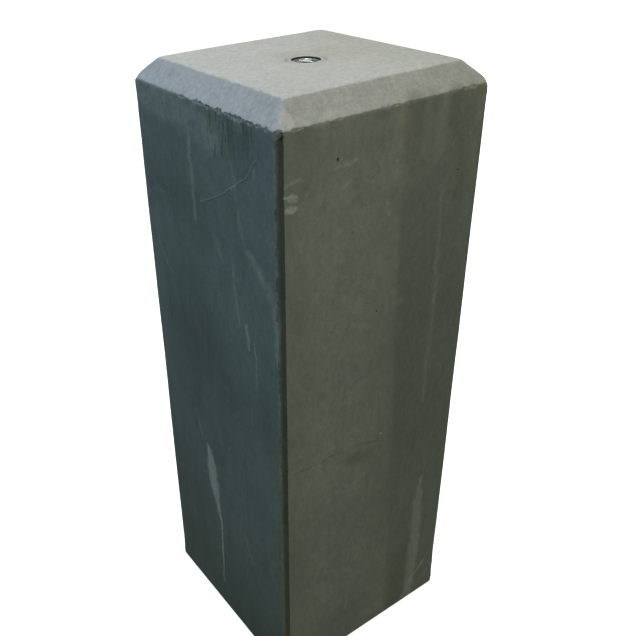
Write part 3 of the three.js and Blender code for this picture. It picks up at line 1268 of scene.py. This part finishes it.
# %% Zinc-plated steel
def zinc_material():
    material, wire, shader = new_material("zinc_plated_steel")
    place, *_, z = wire.places()
    plating = wire.use(mottle, Place=place, Scale=90)
    from_axis = wire.from_socket_axis(place)
    # Painted shade: the sleeve grows darker deeper in its bore. The rim face and the outer edge take real
    # grime.
    deep = wire.between(z, rim - 12 * MM, rim - MM, 1, 0)
    face = wire.between(z, rim - 1.4 * MM, rim - 0.6 * MM)
    outer = wire.between(from_axis, sleeve_radius - MM, sleeve_radius - 0.3 * MM)
    amount = wire.line(outer, 0.2, wire.line(face, 0.14, wire.line(deep, 0.35, 0.28)))
    dirt_and_deep_shade = wire.use(dust, Place=place, Scale=320, Amount=amount)["Dust"]
    bright = wire.mix(plating["Clouds"], (0.56, 0.62, 0.7), (0.74, 0.8, 0.9))
    # Grime, and painted shade deep in the bore, darken and dull the zinc.
    colour = wire.coat(bright, (wire.times(dirt_and_deep_shade, 0.75), (0.09, 0.085, 0.07)))
    wire.feed(shader.inputs["Metallic"], wire.between(dirt_and_deep_shade, 0, 1, 1, 0.25))
    rough = wire.line(dirt_and_deep_shade, 0.35, wire.line(plating["Patches"], 0.14, 0.2))
    wire.finish(shader, colour, rough, plating["Grain"], 0.3, 0.08 * MM)
    return material


# %% Put the materials on
def dress(piece, material):
    piece.data.materials.clear()
    piece.data.materials.append(material)


dress(block, concrete_material())
dress(sleeve, zinc_material())

# %% [markdown]
# ## Floor, light and camera
#
# A pale floor and large soft lights, as in a plain studio. The light has a strong colour
# cast: warm from above and the right, and cool on the left side and its bevel. The lamps
# carry most of it, but some light and shade is painted into the finishes: a cool tint on the
# left bevel, part of the contrast between the pale top and the dark sides, and shade deep in
# the sleeve's bore.

# %% A pale floor
deselect_all()
bpy.ops.mesh.primitive_plane_add(size=14, location=(0, 0, 0))
floor = bpy.context.object
floor.name = "studio_floor"
floor_material, wire, shader = new_material("pale_floor")
wire.feed(shader.inputs["Base Color"], (0.9, 0.9, 0.9))
wire.feed(shader.inputs["Roughness"], 0.9)
wire.feed(shader.inputs["Emission Color"], (1, 1, 1))
wire.feed(shader.inputs["Emission Strength"], 0.85)
dress(floor, floor_material)
floor.visible_diffuse = False
floor.visible_glossy = False

# %% Lights
def soft_light(name, place, target, size, power, colour):
    deselect_all()
    bpy.ops.object.light_add(type="AREA", location=place)
    lamp = bpy.context.object
    lamp.name = name
    lamp.rotation_euler = (Vector(target) - Vector(place)).to_track_quat("-Z", "Y").to_euler()
    lamp.data.shape = "RECTANGLE"
    lamp.data.size, lamp.data.size_y = size
    lamp.data.energy = power
    lamp.data.color = colour
    return lamp


middle = (0, 0, height / 2)
soft_light("overhead", (0.1, 0.1, 2.2), middle, (1.6, 1.6), 25.5, (1, 0.885, 0.7))
cool_left = soft_light("cool_left", (-0.95, 0.2, 1.4), (0, 0, 0.42), (0.7, 0.8), 10.3, (0.215, 0.46, 0.98))
cool_left.visible_glossy = False
soft_light("warm_right", (0.3, -2.2, 1), middle, (1.2, 1.2), 16.2, (1, 0.93, 0.86))
soft_light("back_fill", (1.5, 1.7, 0.4), (0, 0, 0.25), (1.2, 0.7), 9, (1, 0.98, 0.92))

world = bpy.data.worlds.new("studio")
world.use_nodes = True
wire = Wiring(world.node_tree)
fill = world.node_tree.nodes["Background"]
wire.feed(fill.inputs["Color"], (0.79, 1, 0.75))
wire.feed(fill.inputs["Strength"], 0.18)

# What is seen past the floor's edge is plain white, like the floor itself.
backdrop = wire.add("Background", {"Color": (1, 1, 1)}).outputs[0]
seen = wire.add("LightPath").outputs["Is Camera Ray"]
both = wire.add("MixShader", {0: seen, 1: fill.outputs[0], 2: backdrop}).outputs[0]
wire.feed(world.node_tree.nodes["World Output"].inputs["Surface"], both)
bpy.context.scene.world = world
bpy.context.scene.view_settings.view_transform = "Standard"

# %% Camera
# Its place and turn come from the lines of the block in the photograph.
eye = Vector((-338.78, -434.29, 616.73)) * MM
azimuth, dip, roll = -33.94, 29.96, -1.97
turn = (
    Matrix.Rotation(math.radians(azimuth), 4, "Z")
    @ Matrix.Rotation(math.radians(90 - dip), 4, "X")
    @ Matrix.Rotation(math.radians(roll), 4, "Z")
)
deselect_all()
bpy.ops.object.camera_add(location=eye)
camera = bpy.context.object
camera.matrix_world = Matrix.Translation(eye) @ turn
camera.data.sensor_width = 36
camera.data.lens = 43.80
camera.data.shift_x = 0.0945
camera.data.shift_y = -0.0132
camera.data.clip_start = 0.01
bpy.context.scene.camera = camera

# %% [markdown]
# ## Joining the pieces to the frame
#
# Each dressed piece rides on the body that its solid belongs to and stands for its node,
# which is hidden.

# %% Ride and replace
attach(block, BODY)
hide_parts("concrete_block")
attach(sleeve, BODY)
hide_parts("threaded_socket")

deselect_all()
bpy.context.view_layer.update()
